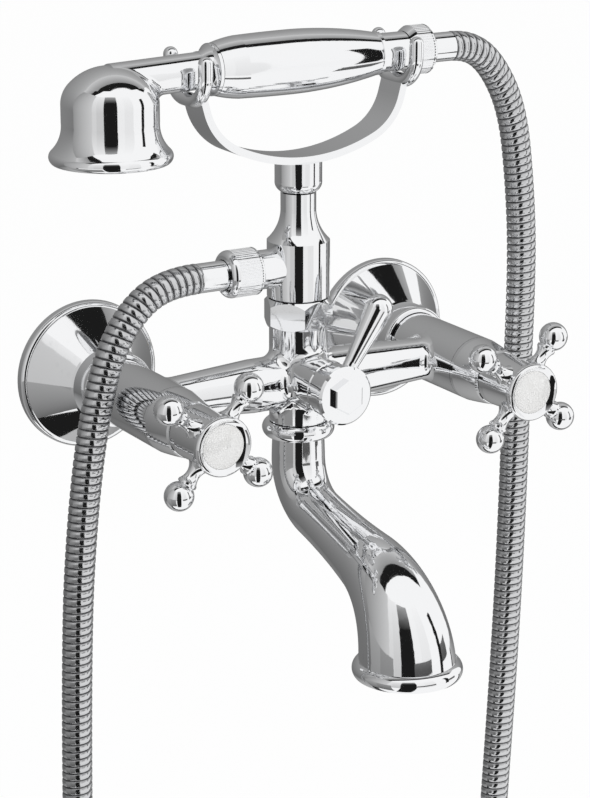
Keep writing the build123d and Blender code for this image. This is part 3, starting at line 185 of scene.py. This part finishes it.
def wound_jacket(name):
    """A helix of metal strip along the centre line, with each vertex's depth in the groove kept."""
    mesh = bmesh.new()
    depth = mesh.verts.layers.float.new("groove")
    across = Vector((0.0, 1.0, 0.0))
    rows = []
    turns = int(hose_length / strip_pitch)
    for turn in range(-1, turns + 1):
        for share, radius, groove in strip_profile:
            row = []
            for side in range(strip_sides):
                angle = 2 * pi * side / strip_sides
                along = (turn + share + side / strip_sides) * strip_pitch
                centre, direction = place_along(along)
                outward = direction.cross(across).normalized()
                inside = 0.0 < along < hose_length
                reach = radius if inside else strip_profile[0][1]
                vertex = mesh.verts.new(centre + reach * (cos(angle) * across + sin(angle) * outward))
                vertex[depth] = groove if inside else 1.0
                row.append(vertex)
            rows.append(row)
    # Each row starts one pitch further on than it ends, so the seam joins the row of the next turn
    per_turn = len(strip_profile)
    for number in range(len(rows) - 1):
        near, far = rows[number], rows[number + 1]
        for side in range(strip_sides - 1):
            mesh.faces.new((near[side], near[side + 1], far[side + 1], far[side]))
        if number + per_turn + 1 < len(rows):
            seam_near, seam_far = rows[number + per_turn], rows[number + per_turn + 1]
            mesh.faces.new((near[-1], seam_near[0], seam_far[0], far[-1]))
    bmesh.ops.remove_doubles(mesh, verts=mesh.verts, dist=1e-6)
    bmesh.ops.dissolve_degenerate(mesh, edges=mesh.edges, dist=1e-7)
    open_edges = [edge for edge in mesh.edges if edge.is_boundary]
    bmesh.ops.holes_fill(mesh, edges=open_edges, sides=0)
    bmesh.ops.recalc_face_normals(mesh, faces=mesh.faces)
    for face in mesh.faces:
        face.smooth = True
    data = bpy.data.meshes.new(name)
    mesh.to_mesh(data)
    mesh.free()
    piece = bpy.data.objects.new(name, data)
    bpy.context.scene.collection.objects.link(piece)
    return piece


hose = wound_jacket("hose_jacket")
print("hose jacket:", len(hose.data.vertices), "vertices, turns of", strip_pitch, "m")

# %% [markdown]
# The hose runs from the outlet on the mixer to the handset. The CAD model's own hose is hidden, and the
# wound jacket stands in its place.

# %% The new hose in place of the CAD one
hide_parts("shower_hose")
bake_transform(hose)

# %% [markdown]
# ## Effects that several finishes share
#
# A shader node group is a small tool with named inputs and outputs. Two are enough here. Polishing
# leaves very fine hairlines in the chrome, and water leaves faint dried spots. The hairlines give a mask
# and a height, the spots a mask alone, and each finish decides what to do with them. The coordinates are
# the object's own, which are metres in the shared frame, so a scale of 1000 means one millimetre.

# %% Helpers for node trees
def shader_group(name, inputs, outputs):
    """An empty group with float sockets, and its two end nodes."""
    group = bpy.data.node_groups.new(name, "ShaderNodeTree")
    for label, value in inputs:
        socket = group.interface.new_socket(name=label, in_out="INPUT", socket_type="NodeSocketFloat")
        socket.default_value = value
    for label in outputs:
        group.interface.new_socket(name=label, in_out="OUTPUT", socket_type="NodeSocketFloat")
    return group, group.nodes.new("NodeGroupInput"), group.nodes.new("NodeGroupOutput")


def noise(tree, vector, scale, detail=3.0, rough=0.55):
    """A noise texture on a vector socket, and its value."""
    node = tree.nodes.new("ShaderNodeTexNoise")
    node.inputs["Scale"].default_value = scale
    node.inputs["Detail"].default_value = detail
    node.inputs["Roughness"].default_value = rough
    tree.links.new(vector, node.inputs["Vector"])
    return node.outputs["Fac"]


def ranged(tree, value, low, high, out_low, out_high):
    """A value's part between two limits, spread over two others."""
    node = tree.nodes.new("ShaderNodeMapRange")
    limits = (("From Min", low), ("From Max", high), ("To Min", out_low), ("To Max", out_high))
    for label, number in limits:
        node.inputs[label].default_value = number
    tree.links.new(value, node.inputs["Value"])
    return node.outputs["Result"]


def combined(tree, kind, first, second):
    """A math node of two values, either of them a socket or a number."""
    node = tree.nodes.new("ShaderNodeMath")
    node.operation = kind
    for place, value in enumerate((first, second)):
        if isinstance(value, (int, float)):
            node.inputs[place].default_value = value
        else:
            tree.links.new(value, node.inputs[place])
    return node.outputs["Value"]


# %% Hairlines
def stretched(tree, stretch=(1.0, 1.0, 1.0)):
    """Object coordinates with each axis scaled by its own number."""
    where = tree.nodes.new("ShaderNodeTexCoord")
    mapping = tree.nodes.new("ShaderNodeMapping")
    mapping.inputs["Scale"].default_value = stretch
    tree.links.new(where.outputs["Object"], mapping.inputs["Vector"])
    return mapping.outputs["Vector"]


hairlines, lines_in, lines_out = shader_group("hairlines", [("Amount", 1.0)], ["Mask", "Height"])
along_x = noise(hairlines, stretched(hairlines, (300.0, 5200.0, 4700.0)), 1.0, 2.0)
along_z = noise(hairlines, stretched(hairlines, (4300.0, 5100.0, 260.0)), 1.0, 2.0)
streaks = combined(hairlines, "MAXIMUM", along_x, along_z)
streak_edge = ranged(hairlines, streaks, 0.60, 0.78, 0.0, 1.0)
lines_mask = combined(hairlines, "MULTIPLY", streak_edge, lines_in.outputs["Amount"])
hairlines.links.new(lines_mask, lines_out.inputs["Mask"])
hairlines.links.new(combined(hairlines, "MULTIPLY", lines_mask, -1.0), lines_out.inputs["Height"])
print("group:", hairlines.name)

# %% Dried water
water_marks, marks_in, marks_out = shader_group("water_marks", [("Amount", 1.0)], ["Mask"])
drop_place = stretched(water_marks, (1.0, 1.0, 0.8))
drops = water_marks.nodes.new("ShaderNodeTexVoronoi")
drops.inputs["Scale"].default_value = 190.0
water_marks.links.new(drop_place, drops.inputs["Vector"])
drop_edge = ranged(water_marks, drops.outputs["Distance"], 0.16, 0.24, 1.0, 0.0)
drop_field = ranged(water_marks, noise(water_marks, drop_place, 26.0, 4.0), 0.54, 0.68, 0.0, 1.0)
drop_mask = combined(water_marks, "MULTIPLY", drop_edge, drop_field)
marks_mask = combined(water_marks, "MULTIPLY", drop_mask, marks_in.outputs["Amount"])
water_marks.links.new(marks_mask, marks_out.inputs["Mask"])
print("group:", water_marks.name)

# %% [markdown]
# ## Finishes
#
# Every finish starts from one Principled shader. A colour or number that is the same all over is set on
# the shader's own socket, and only what changes over the surface comes through nodes.

# %% Helpers for finishes
def finish(name, colour, metallic, roughness):
    """A new material, its node tree and its shader."""
    material = bpy.data.materials.new(name)
    material.use_nodes = True
    tree = material.node_tree
    shader = tree.nodes["Principled BSDF"]
    shader.inputs["Base Color"].default_value = (*colour, 1.0)
    shader.inputs["Metallic"].default_value = metallic
    shader.inputs["Roughness"].default_value = roughness
    return material, tree, shader


def placed(tree, group, **amounts):
    """A shared effect placed in a material."""
    node = tree.nodes.new("ShaderNodeGroup")
    node.node_tree = group
    for label, value in amounts.items():
        node.inputs[label.capitalize()].default_value = value
    return node


def blended(tree, mask, colour, other):
    """A colour that turns into another where the mask is one."""
    node = tree.nodes.new("ShaderNodeMix")
    node.data_type = "RGBA"
    node.inputs["A"].default_value = (*colour, 1.0)
    node.inputs["B"].default_value = (*other, 1.0)
    tree.links.new(mask, node.inputs["Factor"])
    return node.outputs["Result"]


def bumped(tree, shader, height, distance, strength=1.0):
    """Feed a height to the shader's normal."""
    node = tree.nodes.new("ShaderNodeBump")
    node.inputs["Strength"].default_value = strength
    node.inputs["Distance"].default_value = distance
    tree.links.new(height, node.inputs["Height"])
    tree.links.new(node.outputs["Normal"], shader.inputs["Normal"])


# %% [markdown]
# Chrome plate is a mirror on polished brass, so what it shows is the room. Only three small things
# belong to the plate itself: a very slight waviness from the casting under it, hairlines from polishing
# cloths, and faint water marks where it has dried. They change roughness and normal, and barely the
# colour.

# %% Polished chrome
chrome_colour = (0.90, 0.905, 0.915)
marked_colour = (0.80, 0.81, 0.82)
wear_roughness = 0.16


def chrome_finish(name, roughness, wave_scale, wave_depth, lines, marks):
    """A mirror plate with its own waviness, and its own share of hairlines and water marks."""
    material, tree, shader = finish(name, chrome_colour, 1.0, roughness)
    scratch = placed(tree, hairlines, amount=lines)
    spots = placed(tree, water_marks, amount=marks)
    worn = combined(tree, "MAXIMUM", scratch.outputs["Mask"], spots.outputs["Mask"])
    uneven = ranged(tree, worn, 0.0, 1.0, roughness, roughness + wear_roughness)
    tree.links.new(uneven, shader.inputs["Roughness"])
    spotted = blended(tree, spots.outputs["Mask"], chrome_colour, marked_colour)
    tree.links.new(spotted, shader.inputs["Base Color"])
    wave = noise(tree, stretched(tree), wave_scale, 1.0)
    waves = combined(tree, "MULTIPLY", wave, wave_depth)
    height = combined(tree, "ADD", waves, scratch.outputs["Height"])
    bumped(tree, shader, height, 1e-6)
    return material


cast_chrome = chrome_finish("cast_chrome", 0.045, 55.0, 60.0, 0.5, 0.5)
turned_chrome = chrome_finish("turned_chrome", 0.035, 90.0, 18.0, 0.4, 0.4)
print("chrome finishes:", cast_chrome.name, turned_chrome.name)

# %% [markdown]
# The hose's strip is thinner plate with more wear. Its grooves are painted near black, as painted shade
# in the recesses with some grime, in patches. The jacket's mesh carries each vertex's depth in the
# groove, and an
# Attribute node reads that back as a mask.

# %% Hose chrome
strip_roughness = 0.10
groove_roughness = 0.42
hose_chrome, tree, shader = finish("hose_chrome", chrome_colour, 1.0, strip_roughness)
groove = tree.nodes.new("ShaderNodeAttribute")
groove.attribute_name = "groove"
groove_shade_noise = noise(tree, stretched(tree), 320.0, 4.0)
patchy = ranged(tree, groove_shade_noise, 0.30, 0.65, 0.75, 1.0)
# Painted shade: the grooves are darkened to near black by their depth, in patches that also stand for
# grime
groove_shade_and_grime = combined(tree, "MULTIPLY", groove.outputs["Fac"], patchy)
strip_colour = (0.66, 0.665, 0.675)
groove_shade_colour = (0.035, 0.035, 0.04)
tree.links.new(blended(tree, groove_shade_and_grime, strip_colour, groove_shade_colour), shader.inputs["Base Color"])
strip_lines = placed(tree, hairlines, amount=1.0)
strip_wear = combined(tree, "MAXIMUM", strip_lines.outputs["Mask"], groove.outputs["Fac"])
rougher = ranged(tree, strip_wear, 0.0, 1.0, strip_roughness, groove_roughness)
tree.links.new(rougher, shader.inputs["Roughness"])
bumped(tree, shader, strip_lines.outputs["Height"], 2e-6)
hose.data.materials.append(hose_chrome)

# %% [markdown]
# Inside the mixer the brass is bare. It was turned on a lathe, which leaves fine rings about the part's
# axis, and bare brass dulls unevenly to brown. Rings about the valves' axes are made here from the
# distance to the wall, which every valve part shares, so one finish does for both sides.

# %% Raw brass
bare_brass = (0.76, 0.60, 0.32)
dull_brass = (0.50, 0.36, 0.17)
raw_brass, tree, shader = finish("raw_brass", bare_brass, 1.0, 0.30)
ring_place = stretched(tree, (60.0, 2600.0, 60.0))
rings = noise(tree, ring_place, 1.0, 2.0)
tarnish = noise(tree, stretched(tree), 120.0, 5.0)
dulled = ranged(tree, tarnish, 0.42, 0.68, 0.0, 1.0)
tree.links.new(blended(tree, dulled, bare_brass, dull_brass), shader.inputs["Base Color"])
tree.links.new(ranged(tree, dulled, 0.0, 1.0, 0.26, 0.46), shader.inputs["Roughness"])
bumped(tree, shader, rings, 8e-6)
print("finish:", raw_brass.name)

# %% Bright steel for the screws
bright_steel = (0.66, 0.66, 0.65)
worn_steel = (0.52, 0.52, 0.52)
screw_steel, tree, shader = finish("screw_steel", (0.62, 0.62, 0.61), 1.0, 0.32)
brushing = noise(tree, stretched(tree, (900.0, 900.0, 5200.0)), 1.0, 2.0)
tree.links.new(ranged(tree, brushing, 0.3, 0.7, 0.24, 0.44), shader.inputs["Roughness"])
brushed = ranged(tree, brushing, 0.35, 0.75, 0.0, 1.0)
tree.links.new(blended(tree, brushed, bright_steel, worn_steel), shader.inputs["Base Color"])
bumped(tree, shader, brushing, 4e-6)

# %% [markdown]
# The index discs are glazed porcelain, set in a chrome ring. Glaze is glassy and slightly uneven, and
# under it the body is a warm white with a few specks. The valve discs are a technical ceramic instead:
# duller, whiter and lapped flat.

# %% Porcelain and ceramic
glaze_white = (0.82, 0.815, 0.80)
glaze_cloud = (0.74, 0.73, 0.705)
index_enamel, tree, shader = finish("index_enamel", (0.86, 0.855, 0.835), 0.0, 0.12)
specks = noise(tree, stretched(tree), 2600.0, 2.0)
cloud = noise(tree, stretched(tree), 150.0, 3.0)
speck_mask = ranged(tree, specks, 0.70, 0.80, 0.0, 0.5)
cloud_mask = combined(tree, "MAXIMUM", speck_mask, ranged(tree, cloud, 0.45, 0.75, 0.0, 0.6))
tree.links.new(blended(tree, cloud_mask, glaze_white, glaze_cloud), shader.inputs["Base Color"])
tree.links.new(ranged(tree, cloud, 0.3, 0.7, 0.07, 0.14), shader.inputs["Roughness"])
shader.inputs["Coat Weight"].default_value = 0.6
shader.inputs["Coat Roughness"].default_value = 0.04
bumped(tree, shader, cloud, 3e-5)

lapped_white = (0.84, 0.83, 0.80)
lapped_grey = (0.76, 0.75, 0.72)
valve_ceramic, tree, shader = finish("valve_ceramic", (0.82, 0.81, 0.78), 0.0, 0.42)
grains = noise(tree, stretched(tree), 3200.0, 3.0)
grainy = ranged(tree, grains, 0.4, 0.7, 0.0, 1.0)
tree.links.new(blended(tree, grainy, lapped_white, lapped_grey), shader.inputs["Base Color"])
tree.links.new(ranged(tree, grains, 0.35, 0.65, 0.34, 0.52), shader.inputs["Roughness"])
bumped(tree, shader, grains, 4e-6)
print("ceramics:", index_enamel.name, valve_ceramic.name)

# %% Rubber seals and the handset's plastic tube
def moulded_finish(name, colour, bloom, roughness, grain_scale, grain_depth):
    """A soft moulded material: a fine grain, and a paler bloom in patches."""
    material, tree, shader = finish(name, colour, 0.0, roughness)
    grain = noise(tree, stretched(tree), grain_scale, 3.0)
    patches = noise(tree, stretched(tree), 140.0, 4.0)
    mask = ranged(tree, patches, 0.42, 0.70, 0.0, 1.0)
    tree.links.new(blended(tree, mask, colour, bloom), shader.inputs["Base Color"])
    tree.links.new(ranged(tree, mask, 0.0, 1.0, roughness, roughness + 0.14), shader.inputs["Roughness"])
    bumped(tree, shader, grain, grain_depth)
    return material


black_rubber = (0.035, 0.035, 0.037)
rubber_bloom = (0.085, 0.085, 0.085)
grey_plastic = (0.16, 0.17, 0.19)
plastic_bloom = (0.24, 0.25, 0.27)
rubber_seal = moulded_finish("rubber_seal", black_rubber, rubber_bloom, 0.62, 4200.0, 2e-5)
inner_tube = moulded_finish("inner_tube", grey_plastic, plastic_bloom, 0.38, 2600.0, 1e-5)

# %% [markdown]
# ## Finishes on the CAD nodes
#
# A node keeps its shape and only its material slots change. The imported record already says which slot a
# node has, so one table from slot to finish dresses all of them. Large castings get the wavier chrome.

# %% Dress every node
slot_finish = {
    "polished_chrome": turned_chrome,
    "hose_chrome": hose_chrome,
    "raw_brass": raw_brass,
    "ceramic": valve_ceramic,
    "index_enamel": index_enamel,
    "rubber_seal": rubber_seal,
    "screw_steel": screw_steel,
    "inner_tube": inner_tube,
}
cast_nodes = {"mixer_body", "spout", "handset_head", "handset_grip", "diverter_lever", "cradle"}
dressed = {}
for subpart in frame["record"]["subparts"]:
    name = subpart["node"]
    chosen = slot_finish[subpart["material_slot"]]
    if name in cast_nodes:
        chosen = cast_chrome
    if name in nodes:
        nodes[name].data.materials.clear()
        nodes[name].data.materials.append(chosen)
        dressed[chosen.name] = dressed.get(chosen.name, 0) + 1
print("nodes by finish:", dressed)

# %% [markdown]
# ## The room
#
# Chrome is lit by what it mirrors. Picture studios put it in a white tent with an open, darker side
# behind it, and with black cards that draw the thin lines along every edge of a curve. The cards here
# are plain panels that only mirrors see. The world is white to the camera and in mirrors.

# %% Floor
def plain_panel(name, corners, material):
    """A four-cornered panel that isn't part of the object."""
    data = bpy.data.meshes.new(name)
    data.from_pydata(corners, [], [(0, 1, 2, 3)])
    data.materials.append(material)
    panel = bpy.data.objects.new(name, data)
    bpy.context.scene.collection.objects.link(panel)
    return panel


def seen_directly(tree):
    """One for the rays of the camera, of mirrors and of clear things, and zero for diffuse light."""
    seen = tree.nodes.new("ShaderNodeLightPath")
    direct = combined(tree, "MAXIMUM", seen.outputs["Is Camera Ray"], seen.outputs["Is Glossy Ray"])
    return combined(tree, "MAXIMUM", direct, seen.outputs["Is Transmission Ray"])


floor_height = cad_box[0][2] - 0.045
floor_reach = 9.0
floor_lift = 0.97
floor_finish, tree, shader = finish("pale_floor", (0.93, 0.93, 0.935), 0.0, 0.75)
white = tree.nodes.new("ShaderNodeEmission")
white.inputs["Color"].default_value = (1.0, 1.0, 1.0, 1.0)
lift = tree.nodes.new("ShaderNodeMixShader")
tree.links.new(combined(tree, "MULTIPLY", seen_directly(tree), floor_lift), lift.inputs["Fac"])
tree.links.new(shader.outputs["BSDF"], lift.inputs[1])
tree.links.new(white.outputs["Emission"], lift.inputs[2])
tree.links.new(lift.outputs["Shader"], tree.nodes["Material Output"].inputs["Surface"])
plain_panel(
    "floor",
    [
        (-floor_reach, -floor_reach, floor_height),
        (floor_reach, -floor_reach, floor_height),
        (floor_reach, floor_reach, floor_height),
        (-floor_reach, floor_reach, floor_height),
    ],
    floor_finish,
)
print("floor at", round(floor_height, 4))

# %% [markdown]
# Flat panels would give flat greys, so most cards carry a gradient from one end to the other, as a lit
# sheet of paper has. Behind the object the room is darker, and it brightens towards the camera's side.

# %% Cards that mirrors see
def card_finish(name, level, far_level=None, axis="X"):
    """Plain light of one level, or a gradient between two along an axis of the panel's own box."""
    material = bpy.data.materials.new(name)
    material.use_nodes = True
    tree = material.node_tree
    tree.nodes.remove(tree.nodes["Principled BSDF"])
    glow = tree.nodes.new("ShaderNodeEmission")
    glow.inputs["Color"].default_value = (1.0, 1.0, 1.0, 1.0)
    glow.inputs["Strength"].default_value = level
    if far_level is not None:
        where = tree.nodes.new("ShaderNodeTexCoord")
        parts = tree.nodes.new("ShaderNodeSeparateXYZ")
        tree.links.new(where.outputs["Generated"], parts.inputs["Vector"])
        strength = ranged(tree, parts.outputs[axis], 0.0, 1.0, level, far_level)
        tree.links.new(strength, glow.inputs["Strength"])
    tree.links.new(glow.outputs["Emission"], tree.nodes["Material Output"].inputs["Surface"])
    return material


def card(name, corners, material):
    """A panel that only mirrors see."""
    panel = plain_panel(name, corners, material)
    panel.visible_camera = False
    panel.visible_diffuse = False
    panel.visible_shadow = False
    panel.visible_transmission = False
    panel.visible_volume_scatter = False


black_level = 0.012
black_card = card_finish("black_card", black_level)
room_top = 2.2
room_floor = floor_height + 0.02
room_back = 0.95
room_side = 3.2
room_left = -1.75
left_start = -1.5
over_start = 0.03
over_edge_start = -0.46
under_start = 0.12
under_edge_start = -0.02


def level_card(name, front, back, height, material):
    """A card that lies level across the room."""
    card(name, [
        (-room_side, front, height), (room_side, front, height),
        (room_side, back, height), (-room_side, back, height),
    ], material)


card("card_back", [
    (-room_side, room_back, room_floor), (room_side, room_back, room_floor),
    (room_side, room_back, room_top), (-room_side, room_back, room_top),
], card_finish("back_paper", 0.16, 0.50, "Z"))
over_paper = card_finish("over_paper", 0.30, 0.62, "Y")
under_paper = card_finish("under_paper", 0.50, 0.14, "Y")
level_card("card_over", over_start, room_back, room_top, over_paper)
level_card("card_over_edge", over_edge_start, over_start, room_top, black_card)
level_card("card_under", under_start, room_back, room_floor, under_paper)
level_card("card_under_edge", under_edge_start, under_start, room_floor, black_card)
card("card_left", [
    (room_left, left_start, room_floor), (room_left, room_back, room_floor),
    (room_left, room_back, room_top), (room_left, left_start, room_top),
], card_finish("left_paper", 0.78, 0.30, "Y"))

# %% The dark upright behind the camera
to_camera = Vector((-0.5074, -0.8617, 0.0))
to_right = Vector((0.8617, -0.5074, 0.0))
upright_distance = 1.9
upright_from = -12.0
upright_to = 18.0
upright_top = 1.0


def round_the_room(turn, height, distance=upright_distance):
    """A point round the object, turned in degrees from the camera's side towards the right."""
    way = cos(radians(turn)) * to_camera + sin(radians(turn)) * to_right
    return (distance * way.x, distance * way.y, height)


def upright(name, start, end, low, high, material, distance=upright_distance):
    """A standing card between two turns and two heights."""
    card(name, [
        round_the_room(start, low, distance), round_the_room(end, low, distance),
        round_the_room(end, high, distance), round_the_room(start, high, distance),
    ], material)


upright("card_upright", upright_from, upright_to, room_floor, upright_top, black_card)
upright("card_upright_end", upright_from, upright_to, upright_top, room_top,
        card_finish("fading_card", black_level, 0.40, "Z"))
# The dark runs on over the floor, for the spout and the hose look down at it and not at the upright
foot_start = 0.342
card("card_upright_foot", [
    round_the_room(upright_from, room_floor, foot_start),
    round_the_room(upright_to, room_floor, foot_start),
    round_the_room(upright_to, room_floor),
    round_the_room(upright_from, room_floor),
], black_card)
upright("card_upright_right", 78.0, 86.0, room_floor, upright_top, black_card)
for place, (start, end, level) in enumerate(((-28, -12, 0.58), (-44, -28, 0.66), (-60, -44, 0.74))):
    upright(f"card_left_front_{place}", start, end, room_floor, room_top,
            card_finish(f"left_front_paper_{place}", level, 0.9, "Z"))
for place, (start, end, level) in enumerate(((18, 34, 0.90), (34, 56, 0.84))):
    upright(f"card_right_front_{place}", start, end, room_floor, room_top,
            card_finish(f"right_front_paper_{place}", level, 1.0, "Z"))

# %% [markdown]
# The room's lower half is darker than its upper half. Four low cards stand close to the object, two on
# each side of the camera, so only the pieces at the height of the bar and below it mirror them, and the
# handset and the riser stay bright.

# %% Low dark cards
low_distance = 0.45
low_start = floor_height + 0.03
low_left_top = -0.075
low_right_start = -0.13
low_front_top = -0.07
low_side_top = -0.05
upright("card_low_left_near", -46.0, -16.0, low_start, low_left_top,
        card_finish("low_left_near", 0.10, 0.30, "Z"), low_distance)
upright("card_low_left_far", -78.0, -46.0, low_start, low_left_top,
        card_finish("low_left_far", 0.14, 0.36, "Z"), low_distance)
low_right_paper = card_finish("low_right", 0.08, 0.16, "Z")
upright("card_low_right_front", 20.0, 48.0, low_right_start, low_front_top,
        low_right_paper, low_distance)
upright("card_low_right_side", 72.0, 88.0, low_right_start, low_side_top,
        low_right_paper, low_distance)

# %% World
world = bpy.data.worlds.new("white_room")
world.use_nodes = True
bpy.context.scene.world = world
tree = world.node_tree
ambient = tree.nodes["Background"]
ambient.inputs["Color"].default_value = (0.97, 0.98, 1.0, 1.0)
ambient.inputs["Strength"].default_value = 0.55
backdrop = tree.nodes.new("ShaderNodeBackground")
backdrop.inputs["Color"].default_value = (1.0, 1.0, 1.0, 1.0)
backdrop.inputs["Strength"].default_value = 1.0
choose = tree.nodes.new("ShaderNodeMixShader")
tree.links.new(seen_directly(tree), choose.inputs["Fac"])
tree.links.new(ambient.outputs["Background"], choose.inputs[1])
tree.links.new(backdrop.outputs["Background"], choose.inputs[2])
tree.links.new(choose.outputs["Shader"], tree.nodes["World Output"].inputs["Surface"])


# %% Lamps
def soft_lamp(name, place, aim, size, power):
    """A square lamp turned towards a point, and left out of every mirror."""
    data = bpy.data.lights.new(name, "AREA")
    data.shape = "SQUARE"
    data.size = size
    data.energy = power
    lamp = bpy.data.objects.new(name, data)
    lamp.location = place
    lamp.rotation_euler = (Vector(aim) - Vector(place)).to_track_quat("-Z", "Y").to_euler()
    lamp.visible_glossy = False
    bpy.context.scene.collection.objects.link(lamp)


lamp_aim = (0.0, -0.06, 0.0)
soft_lamp("key_lamp", (1.2, -1.7, 1.5), lamp_aim, 1.3, 26.0)
soft_lamp("fill_lamp", (-1.9, -1.0, 0.9), lamp_aim, 1.5, 12.0)
